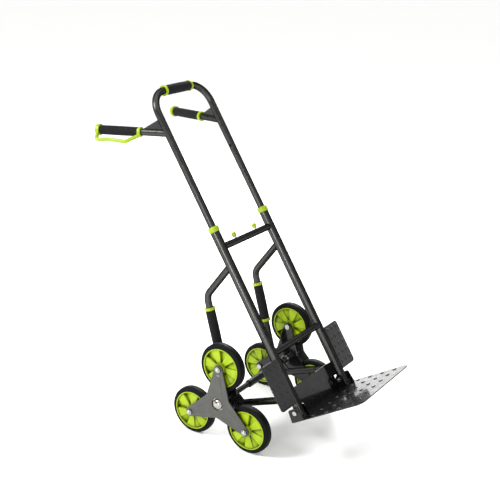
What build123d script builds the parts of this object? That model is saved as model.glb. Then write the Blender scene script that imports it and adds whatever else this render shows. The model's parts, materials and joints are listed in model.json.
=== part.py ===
from build123d import *
import os
from math import atan2, cos, hypot, radians, sin

# A telescoping hand truck with a three-wheel stair-climbing star on each side.
# It is drawn upright in the truck's own frame, in millimetres: X forward, the way the toe plate points,
# Y to the truck's left, Z up along the rails, with Z = 0 at the toe plate's front edge.
# At the end everything is leaned back onto the four lower wheels and moved over the origin.

# ---- driving dimensions ----
LEAN = 33.7             # degrees that the rails lean back with the stars level
FIT = 0.05              # radial clearance of a running fit
DIMPLE_RISE = 2.0       # height of the pressed spots on the plates

RAIL_Y = 132.4          # rail axes, either side of the middle
RAIL_R = 14.5
RAIL_BORE = 12.7
RAIL_FOOT = 17.0        # lower end, clear of the toe plate as it folds
RAIL_TOP = 624.0
COLLAR_R = 17.0
COLLAR_FOOT, COLLAR_TOP = 615.0, 632.0

LOCK_Z = 565.5          # height of the lock bar
LOCK_BAR_R = 10.5
LOCK_BAR_BORE = 9.0
PIN_R = 4.0
PIN_HOLE_R = 4.6
PIN_GAP = 0.4           # between a pin's nose and the handle tube
KNOB_Y = 55.0
KNOB_R = 7.4
KNOB_HEIGHT = 14.0
KNOB_LIFT = 4.0         # knob's foot above the lock bar
STEM_R = 3.5
TRAVEL = 284.0          # the handle's slide, from lock hole to lock hole

LOWER_BAR_X, LOWER_BAR_Z = 3.5, 216.0
LOWER_BAR_R = 10.5
LEG_R = 11.0
LEG_BORE = 9.4
LEG_TOP_BEND = 38.0
LEG_LOW_BEND = 30.0
FOAM_R = 15.5
RING_R = 16.5

HANDLE_R = 11.0
HANDLE_BORE = 9.5
HANDLE_FOOT = 470.0
HANDLE_TOP = 1069.5
HANDLE_BEND = 66.2
GRIP_Z = 939.1          # where the rear grips' axes leave the handle tubes
GRIP_RISE = 29.2        # degrees above level
GRIP_SPLAY = 15.5       # degrees outwards
GRIP_R = 10.5
GRIP_COLLAR = (87.0, 96.5)      # along the grip's axis, from the handle tube's axis
GRIP_COLLAR_R = 15.2
GRIP_FOAM_R = 14.3
GRIP_FOAM_END = 224.5
GRIP_END = 239.0
GUARD_BAR_R = 5.6
GUARD_HANG = 45.0       # degrees outwards from straight down

PIVOT_X, PIVOT_Z = 0.5, 32.5    # toe plate's hinge axis
PIVOT_R = 4.0
TOE_REACH = 234.0
TOE_HALF = 157.0
TOE_SHEET = 3.0
TOE_UNDER = 4.8         # height of its underside at X = 0
TOE_DROP = 1.43         # degrees nose down, so that it lies flat when the truck stands
TOE_BACK = -18.0
FLANGE_TOP = 50.6
OUTER_EAR_Y = (153.4, 156.8)
INNER_EAR_Y = (114.2, 117.2)

AXLE_X, AXLE_Z = -207.35, 143.8
AXLE_R = 8.5
AXLE_HALF = 227.0
ARM = 117.66            # star centre to wheel axis
ARM_ANGLES = (56.3, 176.3, 296.3)
STAR_INNER_Y = 173.0
STAR_OUTER_Y = 219.0
STAR_SHEET = 3.0
STAR_CORNER = 46.0      # star centre to the corner between two arms
STAR_TIP_R = 13.8
ARM_RISE = 1.2          # embossing along the outer plate's arms
HUB_R = 15.0
RECESS_R = 20.0
CAP_R = 17.5
SPACER_R = 8.0
BOLT_R = 5.0

WHEEL_R = 75.0
RIM_R = 61.1
TYRE_Y = (184.3, 210.1)
RIM_Y = (183.0, 212.0)
WHEEL_HUB_Y = (178.0, 217.0)
SPOKES = 6
WEB = 23.0              # thickness of a rim's web
POCKET = 5.5            # mean depth of its pockets
POCKET_SLANT = 16.0     # degrees that a pocket's floor leans


# ---- helpers ----
def rod(start, end, r, bore=0.0):
    """A round bar, or a tube, from one point to another."""
    start, end = Vector(*start), Vector(*end)
    section = Circle(r) - Circle(bore) if bore else Circle(r)
    return extrude(Plane(origin=start, z_dir=end - start) * section, (end - start).length)


def lateral(x, z, y0, y1, r, bore=0.0):
    """A round bar or tube along Y."""
    return rod((x, y0, z), (x, y1, z), r, bore)


def sheet_xz(sketch, y0, y1):
    """Thickens a sketch drawn in X and Z from y0 to y1."""
    return extrude(Plane(origin=(0, y1, 0), x_dir=(1, 0, 0), z_dir=(0, -1, 0)) * sketch, y1 - y0)


def outline(points):
    return make_face(Polyline(*points, close=True))


def hexagon(x, z, y0, y1, across):
    return sheet_xz(Pos(x, z) * RegularPolygon(across / 2, 6, major_radius=False), y0, y1)


def mirrored(part):
    """The same piece on the truck's other side."""
    return mirror(part, about=Plane.XZ)


def pair(part):
    return [mirrored(part), part]


# ---- rails and the bars between them ----
def rail():
    tube = rod((0, RAIL_Y, RAIL_FOOT + 2), (0, RAIL_Y, RAIL_TOP), RAIL_R, RAIL_BORE)
    tube -= lateral(0, LOCK_Z, RAIL_Y - 20, RAIL_Y, PIN_HOLE_R)
    return tube - lateral(PIVOT_X, PIVOT_Z, RAIL_Y - 20, RAIL_Y + 20, PIVOT_R)


def rail_solid():
    """The space that a rail fills, to shape what is welded to it."""
    return rod((0, RAIL_Y, RAIL_FOOT), (0, RAIL_Y, COLLAR_TOP), RAIL_R)


def rail_foot():
    cap = rod((0, RAIL_Y, RAIL_FOOT), (0, RAIL_Y, RAIL_FOOT + 2), RAIL_R)
    return cap + rod((0, RAIL_Y, RAIL_FOOT), (0, RAIL_Y, RAIL_FOOT + 9), RAIL_BORE)


def rail_collar():
    """The plastic collar on a rail's top end, with the spigot that guides the handle tube."""
    skirt = fillet(rod((0, 0, COLLAR_FOOT), (0, 0, COLLAR_TOP), COLLAR_R).edges(), 2)
    skirt -= rod((0, 0, COLLAR_FOOT), (0, 0, RAIL_TOP), RAIL_R)
    spigot = rod((0, 0, 600), (0, 0, RAIL_TOP + 1), RAIL_BORE)
    return Pos(0, RAIL_Y, 0) * (skirt + spigot - rod((0, 0, 600), (0, 0, 640), HANDLE_R + FIT))


def lock_bar():
    bar = lateral(0, LOCK_Z, -RAIL_Y, RAIL_Y, LOCK_BAR_R, LOCK_BAR_BORE)
    for side in (-1, 1):
        bar -= Pos(0, side * (KNOB_Y + 0.5), LOCK_Z + LOCK_BAR_R) * Box(8, 20, 8)
        bar -= Pos(0, (side - 1) * RAIL_Y, 0) * rail_solid()
    return bar


def lock_guides():
    """The stop in the middle of the lock bar and the guide for each pin."""
    guide = lateral(0, LOCK_Z, 96, 110, LOCK_BAR_BORE, PIN_R + FIT)
    return [lateral(0, LOCK_Z, -6, 6, LOCK_BAR_BORE), *pair(guide)]


def lock_spring():
    wire = 0.6
    coil = Helix(pitch=4.2, height=42, radius=7, center=(0, 0, 0), direction=(0, 0, 1))
    turns = sweep(Plane(origin=coil @ 0, z_dir=coil % 0) * Circle(wire), path=coil, is_frenet=True)
    return Pos(0, 6 + 1, LOCK_Z) * Rot(X=-90) * turns


def lock_stem():
    return rod((0, KNOB_Y, LOCK_Z), (0, KNOB_Y, LOCK_Z + 25), STEM_R)


def lock_pin():
    nose = RAIL_Y - HANDLE_R - PIN_GAP
    pin = lateral(0, LOCK_Z, KNOB_Y, nose, PIN_R)
    carrier = lateral(0, LOCK_Z, KNOB_Y - 5, KNOB_Y + 5, LOCK_BAR_BORE - FIT)
    return pin + carrier + lock_stem()


def lock_knob():
    foot = LOCK_Z + LOCK_BAR_R + KNOB_LIFT
    body = rod((0, KNOB_Y, foot), (0, KNOB_Y, foot + KNOB_HEIGHT), KNOB_R)
    body = fillet(body.edges().group_by(Axis.Z)[-1], 3)
    body = chamfer(body.edges().group_by(Axis.Z)[0], 1.5)
    return body - lock_stem()


def lower_crossbar():
    bar = lateral(LOWER_BAR_X, LOWER_BAR_Z, -RAIL_Y, RAIL_Y, LOWER_BAR_R, LOWER_BAR_R - 1.5)
    return bar - rail_solid() - mirrored(rail_solid())


def cross_panel():
    """A sheet between the rails, its ends folded forward to meet them."""
    wing = [(-15.5, 100), (-3, 122), (-6, 123), (-18, 100)]
    profile = Polyline(*wing, *[(x, -y) for x, y in reversed(wing)], close=True)
    panel = extrude(Pos(0, 0, 51) * make_face(profile), 43)
    return panel - rail_solid() - mirrored(rail_solid())


def dimples(rows, columns, pitch_x, pitch_y, across):
    """A grid of raised round spots on the XY plane."""
    spot = extrude(Circle(across / 2), DIMPLE_RISE, taper=40)
    return [place * spot for place in GridLocations(pitch_x, pitch_y, rows, columns)]


def side_plate():
    """The dimpled plate that stands beside a rail, above the toe plate."""
    y0, y1, z0, z1 = 143.0, 220.0, 57.0, 200.5
    middle = Plane(origin=(8, (y0 + y1) / 2, (z0 + z1) / 2), x_dir=(0, 1, 0), z_dir=(1, 0, 0))
    blank = Rectangle(y1 - y0, z1 - z0)
    blank = fillet(blank.vertices().group_by(Axis.X)[-1], 11)
    plate = middle * extrude(blank, 3)
    plate += [middle * Pos(2.5, 2, 3) * spot for spot in dimples(3, 5, 25, 27, 14)]
    return plate - rail_solid()


# ---- rear legs ----
LEG_CORNERS = ((0.0, 505.5), (-134.9, 454.4), (-236.0, 117.0), (0.0, 67.4))     # X and Z of its axis


def on_leg(z):
    """The point of the leg's long straight run at a height."""
    (x1, z1), (x2, z2) = LEG_CORNERS[1:3]
    return (x1 + (x2 - x1) * (z1 - z) / (z1 - z2), RAIL_Y, z)


def leg_path():
    corners = [(x, RAIL_Y, z) for x, z in LEG_CORNERS]
    return FilletPolyline(*corners, radius=[LEG_TOP_BEND, LEG_LOW_BEND])


def leg(bore=LEG_BORE):
    path = leg_path()
    section = Circle(LEG_R) - Circle(bore) if bore else Circle(LEG_R)
    swept = sweep(Plane(origin=path @ 0, z_dir=path % 0) * section, path=path)
    return swept - rail_solid()


def leg_foam():
    return rod(on_leg(410), on_leg(300), FOAM_R, LEG_R)


def leg_rings():
    return [rod(on_leg(top), on_leg(top - 8), RING_R, LEG_R) for top in (418, 300)]


# ---- axle ----
def axle_bracket():
    """A plate welded into the leg's lower bend, with the axle through it."""
    fan = [(-218, 176), (-200, 160), (-186, 130), (-180, 105), (-204, 110), (-224, 124), (-227, 148)]
    plate = sheet_xz(outline(fan), RAIL_Y - 3, RAIL_Y + 3)
    return plate - leg(bore=0) - lateral(AXLE_X, AXLE_Z, 100, 160, AXLE_R)


def axle_cap():
    """A domed cap pressed on the axle's end."""
    foot = STAR_OUTER_Y + 0.6
    height, swell = 10.5, 19.5
    dome = Pos(0, 0, height - swell) * Sphere(swell)
    cap = dome & Pos(0, 0, height / 2) * Cylinder(CAP_R, height)
    cap = Pos(AXLE_X, foot, AXLE_Z) * Rot(X=-90) * cap
    return cap - lateral(AXLE_X, AXLE_Z, foot - 1, AXLE_HALF, AXLE_R)


# ---- sliding handle ----
def handle_tube():
    corners = [
        (0, -RAIL_Y, HANDLE_FOOT), (0, -RAIL_Y, HANDLE_TOP), (0, RAIL_Y, HANDLE_TOP), (0, RAIL_Y, HANDLE_FOOT),
    ]
    path = FilletPolyline(*corners, radius=HANDLE_BEND)
    tube = sweep(Plane(origin=path @ 0, z_dir=path % 0) * (Circle(HANDLE_R) - Circle(HANDLE_BORE)), path=path)
    for side in (-1, 1):
        for z in (LOCK_Z, LOCK_Z + TRAVEL):
            tube -= lateral(0, z, side * (RAIL_Y - 20), side * RAIL_Y, PIN_HOLE_R)
    return tube


def handle_solid():
    return rod((0, RAIL_Y, HANDLE_FOOT), (0, RAIL_Y, HANDLE_TOP - HANDLE_BEND), HANDLE_R)


def guide_bush():
    return rod((0, RAIL_Y, HANDLE_FOOT), (0, RAIL_Y, HANDLE_FOOT + 30), RAIL_BORE - FIT, HANDLE_R)


def grip_plane():
    """The left grip's frame: Z along its axis, X down and outwards, the way the hand guard hangs."""
    rise, splay = radians(GRIP_RISE), radians(GRIP_SPLAY)
    along = Vector(-cos(splay) * cos(rise), sin(splay) * cos(rise), sin(rise))
    down = (Vector(0, 0, -1) + along * sin(rise)).normalized()
    outward = down.cross(along)
    outward = outward if outward.Y > 0 else outward * -1
    hang = radians(GUARD_HANG)
    return Plane(origin=(0, RAIL_Y, GRIP_Z), x_dir=down * cos(hang) + outward * sin(hang), z_dir=along)


def on_grip(t0, t1, r, bore=0.0):
    return grip_plane() * rod((0, 0, t0), (0, 0, t1), r, bore)


def grip_tube():
    return on_grip(4, GRIP_END - 8, GRIP_R, GRIP_R - 1.5) - handle_solid()


def gusset():
    """A triangular plate in the corner between a grip and its handle tube, above the grip."""
    root, along = grip_plane().origin, grip_plane().z_dir
    side = Plane(origin=root, x_dir=(0, 0, 1), z_dir=along.cross(Vector(0, 0, 1)))
    foot = side.to_local_coords(root + along * 98)
    plate = extrude(side * outline([(0, 0), (50, 0), (foot.X, foot.Y)]), 2, both=True)
    return plate - handle_solid() - on_grip(0, GRIP_END, GRIP_R)


def grip_foam():
    return on_grip(GRIP_COLLAR[1], GRIP_FOAM_END, GRIP_FOAM_R, GRIP_R)


def grip_collar():
    return on_grip(*GRIP_COLLAR, GRIP_COLLAR_R, GRIP_R)


def grip_cap():
    cap = rod((0, 0, GRIP_FOAM_END), (0, 0, GRIP_END), RING_R + 1)
    cap = fillet(cap.edges().sort_by(Axis.Z)[-1], 7)
    return grip_plane() * (cap - rod((0, 0, GRIP_FOAM_END - 1), (0, 0, GRIP_END - 8), GRIP_R))


def hand_guard():
    """The bail that protects the knuckles, in one piece with its grip's collar and end cap."""
    points = [(8, 0, 232), (40, 0, 225), (36.5, 0, 185), (42, 0, 126), (12, 0, 88)]
    path = FilletPolyline(*points, radius=[10, 60, 14])
    bail = sweep(Plane(origin=path @ 0, z_dir=path % 0) * Circle(GUARD_BAR_R), path=path)
    bail -= rod((0, 0, GRIP_COLLAR[0] - 9), (0, 0, GRIP_END - 8), GRIP_R)
    bail -= rod((0, 0, GRIP_COLLAR[1]), (0, 0, GRIP_FOAM_END), GRIP_FOAM_R)
    return grip_plane() * bail + grip_collar() + grip_cap()


def top_foam():
    return lateral(0, HANDLE_TOP, -59, 59, FOAM_R, HANDLE_R)


def top_ring():
    return lateral(0, HANDLE_TOP, 59, 65, RING_R, HANDLE_R)


# ---- toe plate ----
def outer_ear():
    """A squarish ear at the toe plate's side, outside a rail."""
    ear = fillet(outline([(-27, 6), (20, 6), (15, 45), (-21, 45)]).vertices().group_by(Axis.Y)[-1], 6)
    return sheet_xz(ear, *OUTER_EAR_Y)


def inner_ear():
    """A round-topped ear between a rail and the flange."""
    web = [(TOE_BACK, 6), (16, 6), (PIVOT_X + 14, PIVOT_Z), (PIVOT_X - 14, PIVOT_Z), (TOE_BACK, 22)]
    return sheet_xz(outline(web) + Pos(PIVOT_X, PIVOT_Z) * Circle(15), *INNER_EAR_Y)


def toe_plate():
    """A pressed plate with ears on its sides for the pivot bolts and a flange across its back."""
    length = TOE_REACH - TOE_BACK
    blank = Pos((TOE_REACH + TOE_BACK) / 2, 0) * Rectangle(length, 2 * TOE_HALF)
    blank = fillet(blank.vertices().group_by(Axis.X)[-1], 24)
    plate = extrude(blank, TOE_SHEET)
    plate += [Pos(115, 0, TOE_SHEET) * spot for spot in dimples(4, 7, 47, 47, 14)]
    plate = Pos(0, 0, TOE_UNDER) * Rot(Y=TOE_DROP) * plate
    ears = outer_ear() + inner_ear() - lateral(PIVOT_X, PIVOT_Z, 110, 170, PIVOT_R + FIT)
    flange = Pos(TOE_BACK + 1.5, 0, (6 + FLANGE_TOP) / 2) * Box(3, 2 * INNER_EAR_Y[1], FLANGE_TOP - 6)
    return plate + ears + mirrored(ears) + flange


def pivot_bolt():
    """A hinge bolt through the toe plate's ears and the rail, with its nut inside the inner ear."""
    inner = INNER_EAR_Y[0] - 0.3
    shank = lateral(PIVOT_X, PIVOT_Z, inner - 8, OUTER_EAR_Y[1] + 1, PIVOT_R)
    head = hexagon(PIVOT_X, PIVOT_Z, OUTER_EAR_Y[1] + 0.3, OUTER_EAR_Y[1] + 5.5, 13)
    nut = hexagon(PIVOT_X, PIVOT_Z, inner - 6.4, inner, 13)
    return [shank + head, nut - lateral(PIVOT_X, PIVOT_Z, inner - 9, inner + 1, PIVOT_R)]


def pivot_spacer():
    spacer = lateral(PIVOT_X, PIVOT_Z, RAIL_Y, OUTER_EAR_Y[0] - 0.3, 9, PIVOT_R)
    return spacer - rail_solid()


# ---- stars ----
def arm_points():
    """The wheel axes, as X and Z."""
    return [(AXLE_X + ARM * cos(radians(a)), AXLE_Z + ARM * sin(radians(a))) for a in ARM_ANGLES]


def star_outline():
    """Three tapering arms: straight edges from the corners between them, tangent to the rounded tips."""
    half = STAR_CORNER * sin(radians(60))
    base = STAR_CORNER * cos(radians(60))
    reach = hypot(ARM - base, half)
    lean = atan2(half, ARM - base)
    touch = lean - (radians(90) - atan2((reach**2 - STAR_TIP_R**2) ** 0.5, STAR_TIP_R))
    tip = (ARM + STAR_TIP_R * sin(touch), STAR_TIP_R * cos(touch))
    arm = outline([(0, 0), (base, half), tip, (tip[0], -tip[1]), (base, -half)])
    arm += Pos(ARM, 0) * Circle(STAR_TIP_R)
    whole = Sketch() + [Rot(Z=a) * arm for a in ARM_ANGLES]
    corners = whole.vertices().group_by(lambda v: round(hypot(v.X, v.Y)))[0]
    return fillet(corners, 9)


def star_plate(y, raised):
    """A spider plate. The outer one has a flat rise along each arm and a wide hole in the middle."""
    sketch = star_outline()
    plate = sheet_xz(Pos(AXLE_X, AXLE_Z) * sketch, y, y + STAR_SHEET)
    if raised:
        rise = outline([(0, -24), (0, 24), (ARM - 20, 6), (ARM - 20, -6)])
        on_face = Pos(AXLE_X, y + STAR_SHEET, AXLE_Z) * Rot(X=90)
        plate += [on_face * Rot(Z=a) * extrude(rise, -ARM_RISE, taper=50) for a in ARM_ANGLES]
    for x, z in arm_points():
        plate -= lateral(x, z, y - 1, y + 9, BOLT_R)
    return plate - lateral(AXLE_X, AXLE_Z, y - 1, y + 9, RECESS_R if raised else HUB_R)


def star_hub():
    """A tube between the plates, with a disc on its outer end behind the outer plate's hole."""
    disc = lateral(AXLE_X, AXLE_Z, STAR_OUTER_Y - 3, STAR_OUTER_Y, RECESS_R + 6)
    tube = lateral(AXLE_X, AXLE_Z, 168, STAR_OUTER_Y, HUB_R)
    return tube + disc - lateral(AXLE_X, AXLE_Z, 160, 230, AXLE_R + FIT)


def wheel_spacers():
    inner, outer = STAR_INNER_Y + STAR_SHEET, STAR_OUTER_Y
    return [lateral(x, z, inner, outer, SPACER_R, BOLT_R) for x, z in arm_points()]


def wheel_bolts():
    """The wheels' bolts, heads inward, and their domed nuts."""
    made = []
    seat = STAR_OUTER_Y + STAR_SHEET
    for x, z in arm_points():
        shank = lateral(x, z, STAR_INNER_Y - 3, seat + 5, BOLT_R)
        made.append(shank + hexagon(x, z, STAR_INNER_Y - 6.4, STAR_INNER_Y, 16))
        nut = hexagon(x, z, seat, seat + 5.5, 16) + Pos(x, seat + 3.6, z) * Sphere(6.6)
        nut &= lateral(x, z, seat, seat + 12, 12)
        made.append(nut - lateral(x, z, seat - 1, seat + 5, BOLT_R))
    return made


# ---- wheels ----
def tyre(x, z):
    ring = Cylinder(WHEEL_R, TYRE_Y[1] - TYRE_Y[0])
    ring = fillet(ring.edges(), 7) - Cylinder(RIM_R, 40)
    return Pos(x, (TYRE_Y[0] + TYRE_Y[1]) / 2, z) * Rot(X=-90) * ring


def rim(x, z, turn):
    """The wheel's moulded centre: a barrel, a web with slanted wedge pockets in both faces, and the hub."""
    depth = RIM_Y[1] - RIM_Y[0]
    barrel = Cylinder(RIM_R, depth) - Cylinder(RIM_R - 3, depth)
    web = Cylinder(RIM_R - 2, WEB)
    step = 360 / SPOKES
    wedge = outline([(18, -3), (56.5, -14), (58.2, 0), (56.5, 14), (18, 3)])
    pocket = Pos(0, 0, WEB / 2 - POCKET) * Rot(X=POCKET_SLANT) * extrude(wedge, WEB)
    for k in range(SPOKES):
        web -= Rot(Z=step * k + turn) * pocket
        web -= Rot(Z=step * (k + 0.5) + turn) * Rot(X=180) * pocket
    hub = Pos(0, 0, (sum(WHEEL_HUB_Y) - sum(RIM_Y)) / 2) * Cylinder(16, WHEEL_HUB_Y[1] - WHEEL_HUB_Y[0])
    wheel = barrel + web + hub - Cylinder(SPACER_R + FIT, 60)
    return Pos(x, sum(RIM_Y) / 2, z) * Rot(X=-90) * wheel


# ---- the whole truck ----
def frame_nodes():
    yield "lock_bar", [lock_bar()]
    yield "lock_guides", lock_guides()
    yield "lock_springs", pair(lock_spring())
    yield "lower_crossbar", [lower_crossbar()]
    yield "cross_panel", [cross_panel()]
    yield "rail_feet", pair(rail_foot())
    yield "rail_collars", pair(rail_collar())
    yield "side_plates", pair(side_plate())
    yield "leg_rings", [*leg_rings(), *[mirrored(ring) for ring in leg_rings()]]
    yield "leg_foams", pair(leg_foam())
    yield "axle", [lateral(AXLE_X, AXLE_Z, -AXLE_HALF, AXLE_HALF, AXLE_R)]
    yield "axle_sleeve", [lateral(AXLE_X, AXLE_Z, -52, 52, 12, AXLE_R)]
    yield "axle_brackets", pair(axle_bracket())
    yield "axle_spacers", pair(lateral(AXLE_X, AXLE_Z, 144, 167.4, 12, AXLE_R))
    yield "axle_caps", pair(axle_cap())
    yield "pivot_bolts", [*pivot_bolt(), *[mirrored(piece) for piece in pivot_bolt()]]
    yield "pivot_spacers", pair(pivot_spacer())
    yield "left_rail", [rail()]
    yield "right_rail", [mirrored(rail())]
    yield "left_leg", [leg()]
    yield "right_leg", [mirrored(leg())]


def handle_nodes():
    yield "handle_tube", [handle_tube()]
    yield "guide_bushes", pair(guide_bush())
    yield "top_grip", [top_foam()]
    yield "top_grip_rings", pair(top_ring())
    yield "gussets", pair(gusset())
    yield "left_grip_tube", [grip_tube()]
    yield "right_grip_tube", [mirrored(grip_tube())]
    yield "left_grip", [grip_foam()]
    yield "right_grip", [mirrored(grip_foam())]
    yield "left_grip_collar", [grip_collar()]
    yield "left_grip_cap", [grip_cap()]
    yield "right_hand_guard", [mirrored(hand_guard())]


def star_nodes():
    """Everything on the left star, by the last part of its name."""
    yield "star_plate_inner", [star_plate(STAR_INNER_Y, False)]
    yield "star_plate_outer", [star_plate(STAR_OUTER_Y, True)]
    yield "star_hub", [star_hub()]
    yield "wheel_spacers", wheel_spacers()
    yield "wheel_bolts", wheel_bolts()
    for name, (x, z), turn in zip(("top", "rear", "front"), arm_points(), (12, 40, 25)):
        yield name + "_tyre", [tyre(x, z)]
        yield name + "_rim", [rim(x, z, turn)]


def two_sided(nodes):
    for name, pieces in nodes:
        yield "left_" + name, pieces
        yield "right_" + name, [mirrored(piece) for piece in pieces]


nodes = dict(frame_nodes())
nodes.update(handle_nodes())
nodes.update(two_sided([("lock_pin", [lock_pin()]), ("lock_knob", [lock_knob()])]))
nodes["toe_plate"] = [toe_plate()]
nodes.update(two_sided(star_nodes()))

leaned = {
    name: [Rot(Y=-LEAN) * solid for piece in pieces for solid in piece.solids()]
    for name, pieces in nodes.items()
}
box = Compound([solid for solids in leaned.values() for solid in solids]).bounding_box()
to_origin = Pos(-(box.min.X + box.max.X) / 2, 0, -box.min.Z)
print("origin moved by", to_origin.position, "size", box.size)

os.makedirs("parts", exist_ok=True)
for name, solids in leaned.items():
    export_step(Compound([to_origin * solid for solid in solids]), f"parts/{name}.step")
print(len(leaned), "nodes")
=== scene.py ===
import json
from math import cos, pi, radians, sin, sqrt

import bpy
from mathutils import Matrix, Vector


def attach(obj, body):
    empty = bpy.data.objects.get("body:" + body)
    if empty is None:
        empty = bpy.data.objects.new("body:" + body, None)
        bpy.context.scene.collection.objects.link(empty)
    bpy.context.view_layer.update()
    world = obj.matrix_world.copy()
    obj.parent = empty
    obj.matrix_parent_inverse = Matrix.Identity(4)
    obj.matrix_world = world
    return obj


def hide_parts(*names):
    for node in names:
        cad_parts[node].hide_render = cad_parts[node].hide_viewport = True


# A stair-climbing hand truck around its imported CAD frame, in metres.

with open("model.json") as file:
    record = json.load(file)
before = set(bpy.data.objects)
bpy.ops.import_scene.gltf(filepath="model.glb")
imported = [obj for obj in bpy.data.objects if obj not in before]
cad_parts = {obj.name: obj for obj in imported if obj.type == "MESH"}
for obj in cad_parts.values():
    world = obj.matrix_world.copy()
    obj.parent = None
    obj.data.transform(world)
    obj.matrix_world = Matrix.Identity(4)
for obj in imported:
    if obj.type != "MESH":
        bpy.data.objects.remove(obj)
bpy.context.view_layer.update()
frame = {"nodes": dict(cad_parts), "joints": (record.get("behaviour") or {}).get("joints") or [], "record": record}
nodes = frame["nodes"]
joints = {joint["name"]: joint for joint in frame["joints"]}

# ---- the truck's own axes, read from its joints ----
UP = Vector(joints["handle_slide"]["axis"])             # along the rails
FORWARD = Vector((UP.z, 0, -UP.x))                      # the way the toe plate points
LEFT = Vector((0, 1, 0))
PIVOT = Vector(joints["toe_plate_fold"]["pos_m"])
PIVOT_AT = Vector((0.0005, 0, 0.0325))                  # the same point in the truck's own frame


def truck(x, y, z):
    """A point of the truck's own frame (x forward, y left, z along the rails), in the row frame."""
    return PIVOT + FORWARD * (x - PIVOT_AT.x) + LEFT * y + UP * (z - PIVOT_AT.z)


# ---- sizes, in metres ----
SIDES = {"left": 1, "right": -1}
RAIL_Y = 0.1324                                         # from the middle plane to each rail's axis

HANDLE_R = 0.011
HANDLE_TOP_Z = 1.0695
TOP_FOAM_REACH = 0.059                                  # half of the top sleeve's length

LEG_R = 0.011
LEG_BEND_TOP, LEG_BEND_LOW = (-0.1349, 0.4544), (-0.236, 0.117)
LEG_FOAM_TOP, LEG_FOAM_LOW = 0.41, 0.3

GRIP_R = 0.0105
GRIP_Z = 0.9391
GRIP_RISE, GRIP_SPLAY = radians(29.2), radians(15.5)
GRIP_FROM, GRIP_TO = 0.0965, 0.2245                     # a rear sleeve's ends, along the grip's axis

FOAM_R = 0.0155
GRIP_FOAM_R = 0.0143
FOAM_BELLY = 0.0004                                     # how much a sleeve swells at its middle
FOAM_ROUND = 0.0026                                     # the rounding of a sleeve's ends
SLEEVE_STEPS = 12
FOAM_RIBS = 40
RIB_DEPTH = 0.00035
RIB_START = 0.001                                       # from a sleeve's end
POINTS_PER_RIB = 6


# ---- materials ----
MIX_A, MIX_B, MIX_RESULT = 6, 7, 2                      # the colour sockets of a Mix node


def colour(hex_code):
    """A display colour as linear red, green, blue and alpha."""
    parts = [int(hex_code[i:i + 2], 16) / 255 for i in (1, 3, 5)]
    return [p / 12.92 if p < 0.04045 else ((p + 0.055) / 1.055) ** 2.4 for p in parts] + [1.0]


class Paint:
    """A node material: one Principled shader, varied and embossed by procedural noise."""

    def __init__(self, name, shown, roughness, metallic=0.0, **sockets):
        self.material = bpy.data.materials.new(name)
        self.material.use_nodes = True
        self.tree = self.material.node_tree
        self.shader = self.tree.nodes["Principled BSDF"]
        self.base = colour(shown)
        self.shader.inputs["Base Color"].default_value = self.base
        self.shader.inputs["Roughness"].default_value = roughness
        self.shader.inputs["Metallic"].default_value = metallic
        for socket, value in sockets.items():
            self.shader.inputs[socket.replace("_", " ")].default_value = value
        self.place = self.add("ShaderNodeTexCoord").outputs["Object"]

    def add(self, kind, **values):
        """A new node, with values for its sockets or its settings."""
        node = self.tree.nodes.new(kind)
        for name, value in values.items():
            if name in node.inputs:
                node.inputs[name].default_value = value
            else:
                setattr(node, name, value)
        return node

    def join(self, output, target):
        self.tree.links.new(output, target)

    def noise(self, scale, detail=3.0):
        texture = self.add("ShaderNodeTexNoise", Scale=scale, Detail=detail)
        self.join(self.place, texture.inputs["Vector"])
        return texture.outputs["Fac"]

    def spread(self, source, low, high, start=0.35, end=0.65):
        """Maps a 0 to 1 pattern to a range of numbers."""
        ramp = self.add("ShaderNodeMapRange")
        for socket, value in zip(("From Min", "From Max", "To Min", "To Max"), (start, end, low, high)):
            ramp.inputs[socket].default_value = value
        self.join(source, ramp.inputs["Value"])
        return ramp.outputs["Result"]

    def vary_colour(self, scale, amount):
        """Lightens and darkens the base colour in patches."""
        mix = self.add("ShaderNodeMix", data_type="RGBA")
        dark, light = ([min(1, c * f) for c in self.base[:3]] + [1] for f in (1 - amount, 1 + amount))
        mix.inputs[MIX_A].default_value = dark
        mix.inputs[MIX_B].default_value = light
        self.join(self.spread(self.noise(scale), 0, 1), mix.inputs["Factor"])
        self.join(mix.outputs[MIX_RESULT], self.shader.inputs["Base Color"])

    def paint_hollow_shade(self, shown, reach):
        """Paints shade into the colour: it turns to a darker one in hollows and corners, where ambient occlusion
        finds them.
        """
        occlusion_shade = self.add("ShaderNodeAmbientOcclusion", samples=8, Distance=reach)
        mix = self.add("ShaderNodeMix", data_type="RGBA")
        # painted shade: the dark colour that the deepest hollows reach
        mix.inputs[MIX_A].default_value = colour(shown)
        self.join(self.shader.inputs["Base Color"].links[0].from_socket, mix.inputs[MIX_B])
        self.join(self.spread(occlusion_shade.outputs["AO"], 0, 1, 0.4, 0.95), mix.inputs["Factor"])
        self.join(mix.outputs[MIX_RESULT], self.shader.inputs["Base Color"])

    def vary_roughness(self, scale, low, high):
        """Moves the roughness between two values in patches."""
        self.join(self.spread(self.noise(scale), low, high), self.shader.inputs["Roughness"])

    def relief(self, scale, depth, edge=0.0, detail=3.0):
        """A fine bump, in metres, over edges that are softened by a small radius."""
        bump = self.add("ShaderNodeBump", Strength=1.0, Distance=depth)
        self.join(self.noise(scale, detail), bump.inputs["Height"])
        if edge:
            bevel = self.add("ShaderNodeBevel", samples=4, Radius=edge)
            self.join(bevel.outputs["Normal"], bump.inputs["Normal"])
        self.join(bump.outputs["Normal"], self.shader.inputs["Normal"])


def tube_paint():
    paint = Paint("anthracite_tube", "#444443", 0.3, 1.0, Specular_Tint=colour("#303030"))
    paint.vary_colour(900, 0.15)
    paint.vary_roughness(60, 0.24, 0.34)
    paint.relief(1400, 0.00002, edge=0.0006)
    return paint.material


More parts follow.
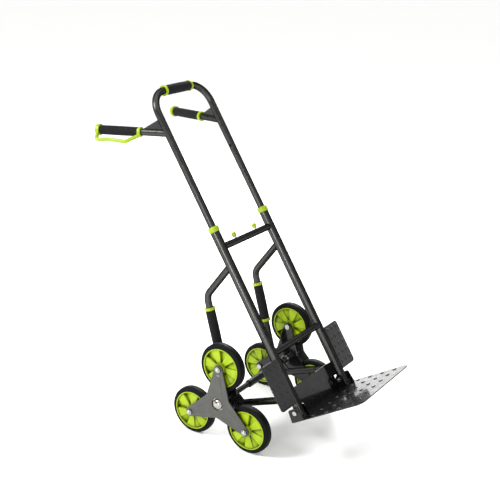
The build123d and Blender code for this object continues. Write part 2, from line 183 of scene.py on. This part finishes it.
def grey_paint():
    paint = Paint("grey_star", "#484845", 0.4, 0.5, Coat_Weight=0.2, Coat_Roughness=0.25)
    paint.vary_colour(35, 0.1)
    paint.vary_roughness(90, 0.34, 0.48)
    paint.relief(1200, 0.00003, edge=0.0009)
    return paint.material


def black_paint():
    paint = Paint(
        "black_sheet", "#060607", 0.35, Specular_IOR_Level=0.15, Coat_Weight=0.5, Coat_Roughness=0.08
    )
    paint.vary_colour(140, 0.2)
    paint.vary_roughness(50, 0.24, 0.38)
    paint.relief(1500, 0.00002, edge=0.0006)
    return paint.material


def black_plastic():
    paint = Paint("black_plastic", "#070708", 0.45, Specular_IOR_Level=0.25)
    paint.vary_colour(200, 0.2)
    paint.vary_roughness(80, 0.38, 0.54)
    paint.relief(1800, 0.00003, edge=0.0005)
    return paint.material


def lime_plastic():
    paint = Paint("lime_plastic", "#8ba40f", 0.32, Specular_IOR_Level=0.35)
    paint.vary_colour(60, 0.05)
    paint.vary_roughness(70, 0.26, 0.38)
    paint.relief(1500, 0.00002, edge=0.0008)
    return paint.material


def rim_plastic():
    paint = Paint("lime_rim", "#8ea60a", 0.36, Specular_IOR_Level=0.25)
    paint.vary_colour(60, 0.07)
    # painted shade: the rim's pockets and corners darken towards #2f3d02 by ambient occlusion
    paint.paint_hollow_shade("#2f3d02", 0.014)
    paint.vary_roughness(70, 0.3, 0.44)
    paint.relief(1300, 0.00003, edge=0.001)
    return paint.material


def foam():
    paint = Paint("foam_rubber", "#0c0c0d", 0.8, Specular_IOR_Level=0.25)
    paint.vary_colour(500, 0.3)
    paint.vary_roughness(300, 0.76, 0.92)
    paint.relief(2600, 0.0001, detail=6)
    return paint.material


def tyre_rubber():
    paint = Paint("tyre_rubber", "#050507", 0.55, Specular_IOR_Level=0.1)
    paint.vary_colour(90, 0.2)
    paint.vary_roughness(120, 0.48, 0.66)
    paint.relief(2200, 0.00004, edge=0.0005)
    return paint.material


def zinc():
    paint = Paint("zinc_plate", "#a9aaa8", 0.26, 1.0)
    paint.vary_colour(150, 0.12)
    paint.vary_roughness(120, 0.2, 0.34)
    paint.relief(1600, 0.00002, edge=0.0004)
    return paint.material


def chrome():
    paint = Paint("polished_chrome", "#a8a49c", 0.07, 1.0)
    paint.vary_colour(40, 0.04)
    paint.vary_roughness(200, 0.05, 0.1)
    paint.relief(900, 0.000005, edge=0.0004)
    return paint.material


MAKERS = (
    tube_paint, grey_paint, black_paint, black_plastic, lime_plastic,
    rim_plastic, foam, tyre_rubber, zinc, chrome,
)
materials = {make.__name__: make() for make in MAKERS}  # by the record's slot names
slot_of = {part["node"]: part["material_slot"] for part in frame["record"]["subparts"]}


def dress(piece, slot):
    """Gives a piece the material of its slot, and no other."""
    piece.data.materials.clear()
    piece.data.materials.append(materials[slot])


for name, node in nodes.items():
    dress(node, slot_of[name])


def finished(piece, body, slot):
    """Gives a new piece smooth shading, the material of its slot and the body that it moves with."""
    piece.data.shade_smooth()
    dress(piece, slot)
    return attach(piece, body)


def mesh_piece(name, points, faces):
    """A new object in the scene, from its points and faces."""
    mesh = bpy.data.meshes.new(name)
    mesh.from_pydata([tuple(p) for p in points], [], faces)
    mesh.validate()
    piece = bpy.data.objects.new(name, mesh)
    bpy.context.scene.collection.objects.link(piece)
    return piece


# ---- foam grips ----
def axes_along(direction):
    """Two unit vectors square to a direction and to each other."""
    direction = direction.normalized()
    helper = Vector((0, 0, 1)) if abs(direction.z) < 0.9 else Vector((1, 0, 0))
    side = direction.cross(helper).normalized()
    return side, direction.cross(side)


def sleeve_profile(length, bore, radius):
    """The rings of a sleeve, each as its place along the sleeve, its radius and the depth of its ribs."""
    ends = [0, 0.0006, 0.0014, FOAM_ROUND]
    inner = [length * k / SLEEVE_STEPS for k in range(1, SLEEVE_STEPS)]
    steps = ends + inner + [length - end for end in reversed(ends)]
    rings = []
    for along in steps:
        edge = min(along, length - along)
        turn = FOAM_ROUND - sqrt(max(0.0, FOAM_ROUND**2 - (FOAM_ROUND - min(edge, FOAM_ROUND)) ** 2))
        swell = FOAM_BELLY * sin(pi * along / length)
        rings.append((along, radius - turn + swell, RIB_DEPTH if edge > RIB_START else 0.0))
    return rings + [(length, bore, 0.0), (0.0, bore, 0.0)]


def sleeve_mesh(start, end, bore, radius):
    """Points and faces of a foam sleeve: fine ribs along it, rounded ends, a slight belly, and a bore."""
    axis = end - start
    side, other = axes_along(axis)
    around = FOAM_RIBS * POINTS_PER_RIB
    rings = sleeve_profile(axis.length, bore, radius)
    points = []
    for along, reach, groove in rings:
        centre = start + axis * (along / axis.length)
        for k in range(around):
            angle = 2 * pi * k / around
            rib = groove * (0.5 + 0.5 * cos(FOAM_RIBS * angle)) ** 3
            points.append(centre + (side * cos(angle) + other * sin(angle)) * (reach - rib))
    faces = []
    for r in range(len(rings)):
        here, there = r * around, (r + 1) % len(rings) * around
        for k in range(around):
            n = (k + 1) % around
            faces.append((here + k, there + k, there + n, here + n))
    return points, faces


def sleeves(name, body, spans, bore, radius=FOAM_R):
    """One soft piece with a sleeve along each span, in place of the CAD node of the same name."""
    points, faces = [], []
    for start, end in spans:
        more, cells = sleeve_mesh(start, end, bore, radius - FOAM_BELLY)
        faces += [tuple(i + len(points) for i in cell) for cell in cells]
        points += more
    piece = finished(mesh_piece(name + "_foam", points, faces), body, "foam")
    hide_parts(name)


def on_grip(side, t):
    """A point of a rear grip's axis, t metres from the handle tube's axis."""
    level = cos(GRIP_RISE) * t
    outwards = RAIL_Y + sin(GRIP_SPLAY) * level
    return truck(-cos(GRIP_SPLAY) * level, side * outwards, GRIP_Z + sin(GRIP_RISE) * t)


def on_leg(side, z):
    """A point of a rear leg's long straight run, at a height in the truck's own frame."""
    (x1, z1), (x2, z2) = LEG_BEND_TOP, LEG_BEND_LOW
    return truck(x1 + (x2 - x1) * (z1 - z) / (z1 - z2), side * RAIL_Y, z)


top_span = [truck(0, y, HANDLE_TOP_Z) for y in (-TOP_FOAM_REACH, TOP_FOAM_REACH)]
sleeves("top_grip", "handle", [top_span], HANDLE_R)
for name, side in SIDES.items():
    grip_span = (on_grip(side, GRIP_FROM), on_grip(side, GRIP_TO))
    sleeves(name + "_grip", "handle", [grip_span], GRIP_R, GRIP_FOAM_R)
leg_spans = [(on_leg(side, LEG_FOAM_TOP), on_leg(side, LEG_FOAM_LOW)) for side in SIDES.values()]
sleeves("leg_foams", "frame", leg_spans, LEG_R)


# ---- floor, light and camera ----
FLOOR = 40.0                                            # half of the floor's side
MIDDLE = (0, 0, 0.5)
HORIZON = 0.56                                          # brightness as a share of the sky overhead
SKY = {0.25: HORIZON, 0.3: 0.03, 0.46: 0.03, 0.6: 0.35} # the same share by height, on a unit sphere
SKY_STRENGTH = 2.0


def softbox(name, place, size, power, aim=MIDDLE):
    """A round lamp, size metres across, that faces the truck."""
    light = bpy.data.lights.new(name, "AREA")
    light.shape = "DISK"
    light.size = size
    light.energy = power
    lamp = bpy.data.objects.new(name, light)
    lamp.location = place
    lamp.rotation_euler = (Vector(aim) - Vector(place)).to_track_quat("-Z", "Y").to_euler()
    bpy.context.scene.collection.objects.link(lamp)


def sky():
    """A studio that is brightest overhead, with a dim band above a white horizon."""
    world = bpy.data.worlds.new("studio")
    world.use_nodes = True
    tree = world.node_tree
    direction = tree.nodes.new("ShaderNodeTexCoord")
    split = tree.nodes.new("ShaderNodeSeparateXYZ")
    ramp = tree.nodes.new("ShaderNodeValToRGB")
    for height, share in SKY.items():
        ramp.color_ramp.elements.new(height).color = (share, share, share, 1)
    ramp.color_ramp.elements[0].color = (HORIZON, HORIZON, HORIZON, 1)
    tree.links.new(direction.outputs["Generated"], split.inputs["Vector"])
    tree.links.new(split.outputs["Z"], ramp.inputs["Fac"])
    tree.links.new(ramp.outputs["Color"], tree.nodes["Background"].inputs["Color"])
    tree.nodes["Background"].inputs["Strength"].default_value = SKY_STRENGTH
    bpy.context.scene.world = world


def studio():
    """A pale floor that runs past the view, the sky and four lamps."""
    corners = [(-FLOOR, -FLOOR, 0), (FLOOR, -FLOOR, 0), (FLOOR, FLOOR, 0), (-FLOOR, FLOOR, 0)]
    floor = mesh_piece("floor", corners, [(0, 1, 2, 3)])
    cover = Paint("studio_floor", "#fafaf9", 0.7)
    cover.vary_roughness(3, 0.66, 0.74)
    floor.data.materials.append(cover.material)
    sky()
    softbox("key", (-2.2, -2.6, 3.0), size=1.3, power=150)
    softbox("fill", (2.6, -2.6, 1.6), size=1.4, power=14, aim=(0, 0, 0.4))
    softbox("front", (0.6, -3.0, 0.95), size=0.8, power=30)
    softbox("back", (-1.4, 2.9, 2.1), size=1.2, power=100)


CAMERA_TARGET = Vector((0.1365, -0.2422, 0.6616))
CAMERA_DISTANCE = 2.6745
AZIMUTH, ELEVATION, ROLL = radians(32.99), radians(19.82), radians(2.33)
LENS, SENSOR = 69.74, 36                                # in millimetres


def camera():
    """A camera in front of the truck's right side, a little above it and slightly rolled."""
    data = bpy.data.cameras.new("camera")
    data.lens = LENS
    data.sensor_width = SENSOR
    eye = bpy.data.objects.new("camera", data)
    back = Vector((sin(AZIMUTH) * cos(ELEVATION), -cos(AZIMUTH) * cos(ELEVATION), sin(ELEVATION)))
    right = (-back).cross(Vector((0, 0, 1))).normalized()
    up = right.cross(-back)
    across = right * cos(ROLL) + up * sin(ROLL)
    above = up * cos(ROLL) - right * sin(ROLL)
    eye.matrix_world = Matrix.Translation(CAMERA_TARGET + back * CAMERA_DISTANCE) @ Matrix(
        (across, above, back)
    ).transposed().to_4x4()
    bpy.context.scene.collection.objects.link(eye)
    bpy.context.scene.camera = eye


studio()
camera()
bpy.context.scene.view_settings.view_transform = "Standard"
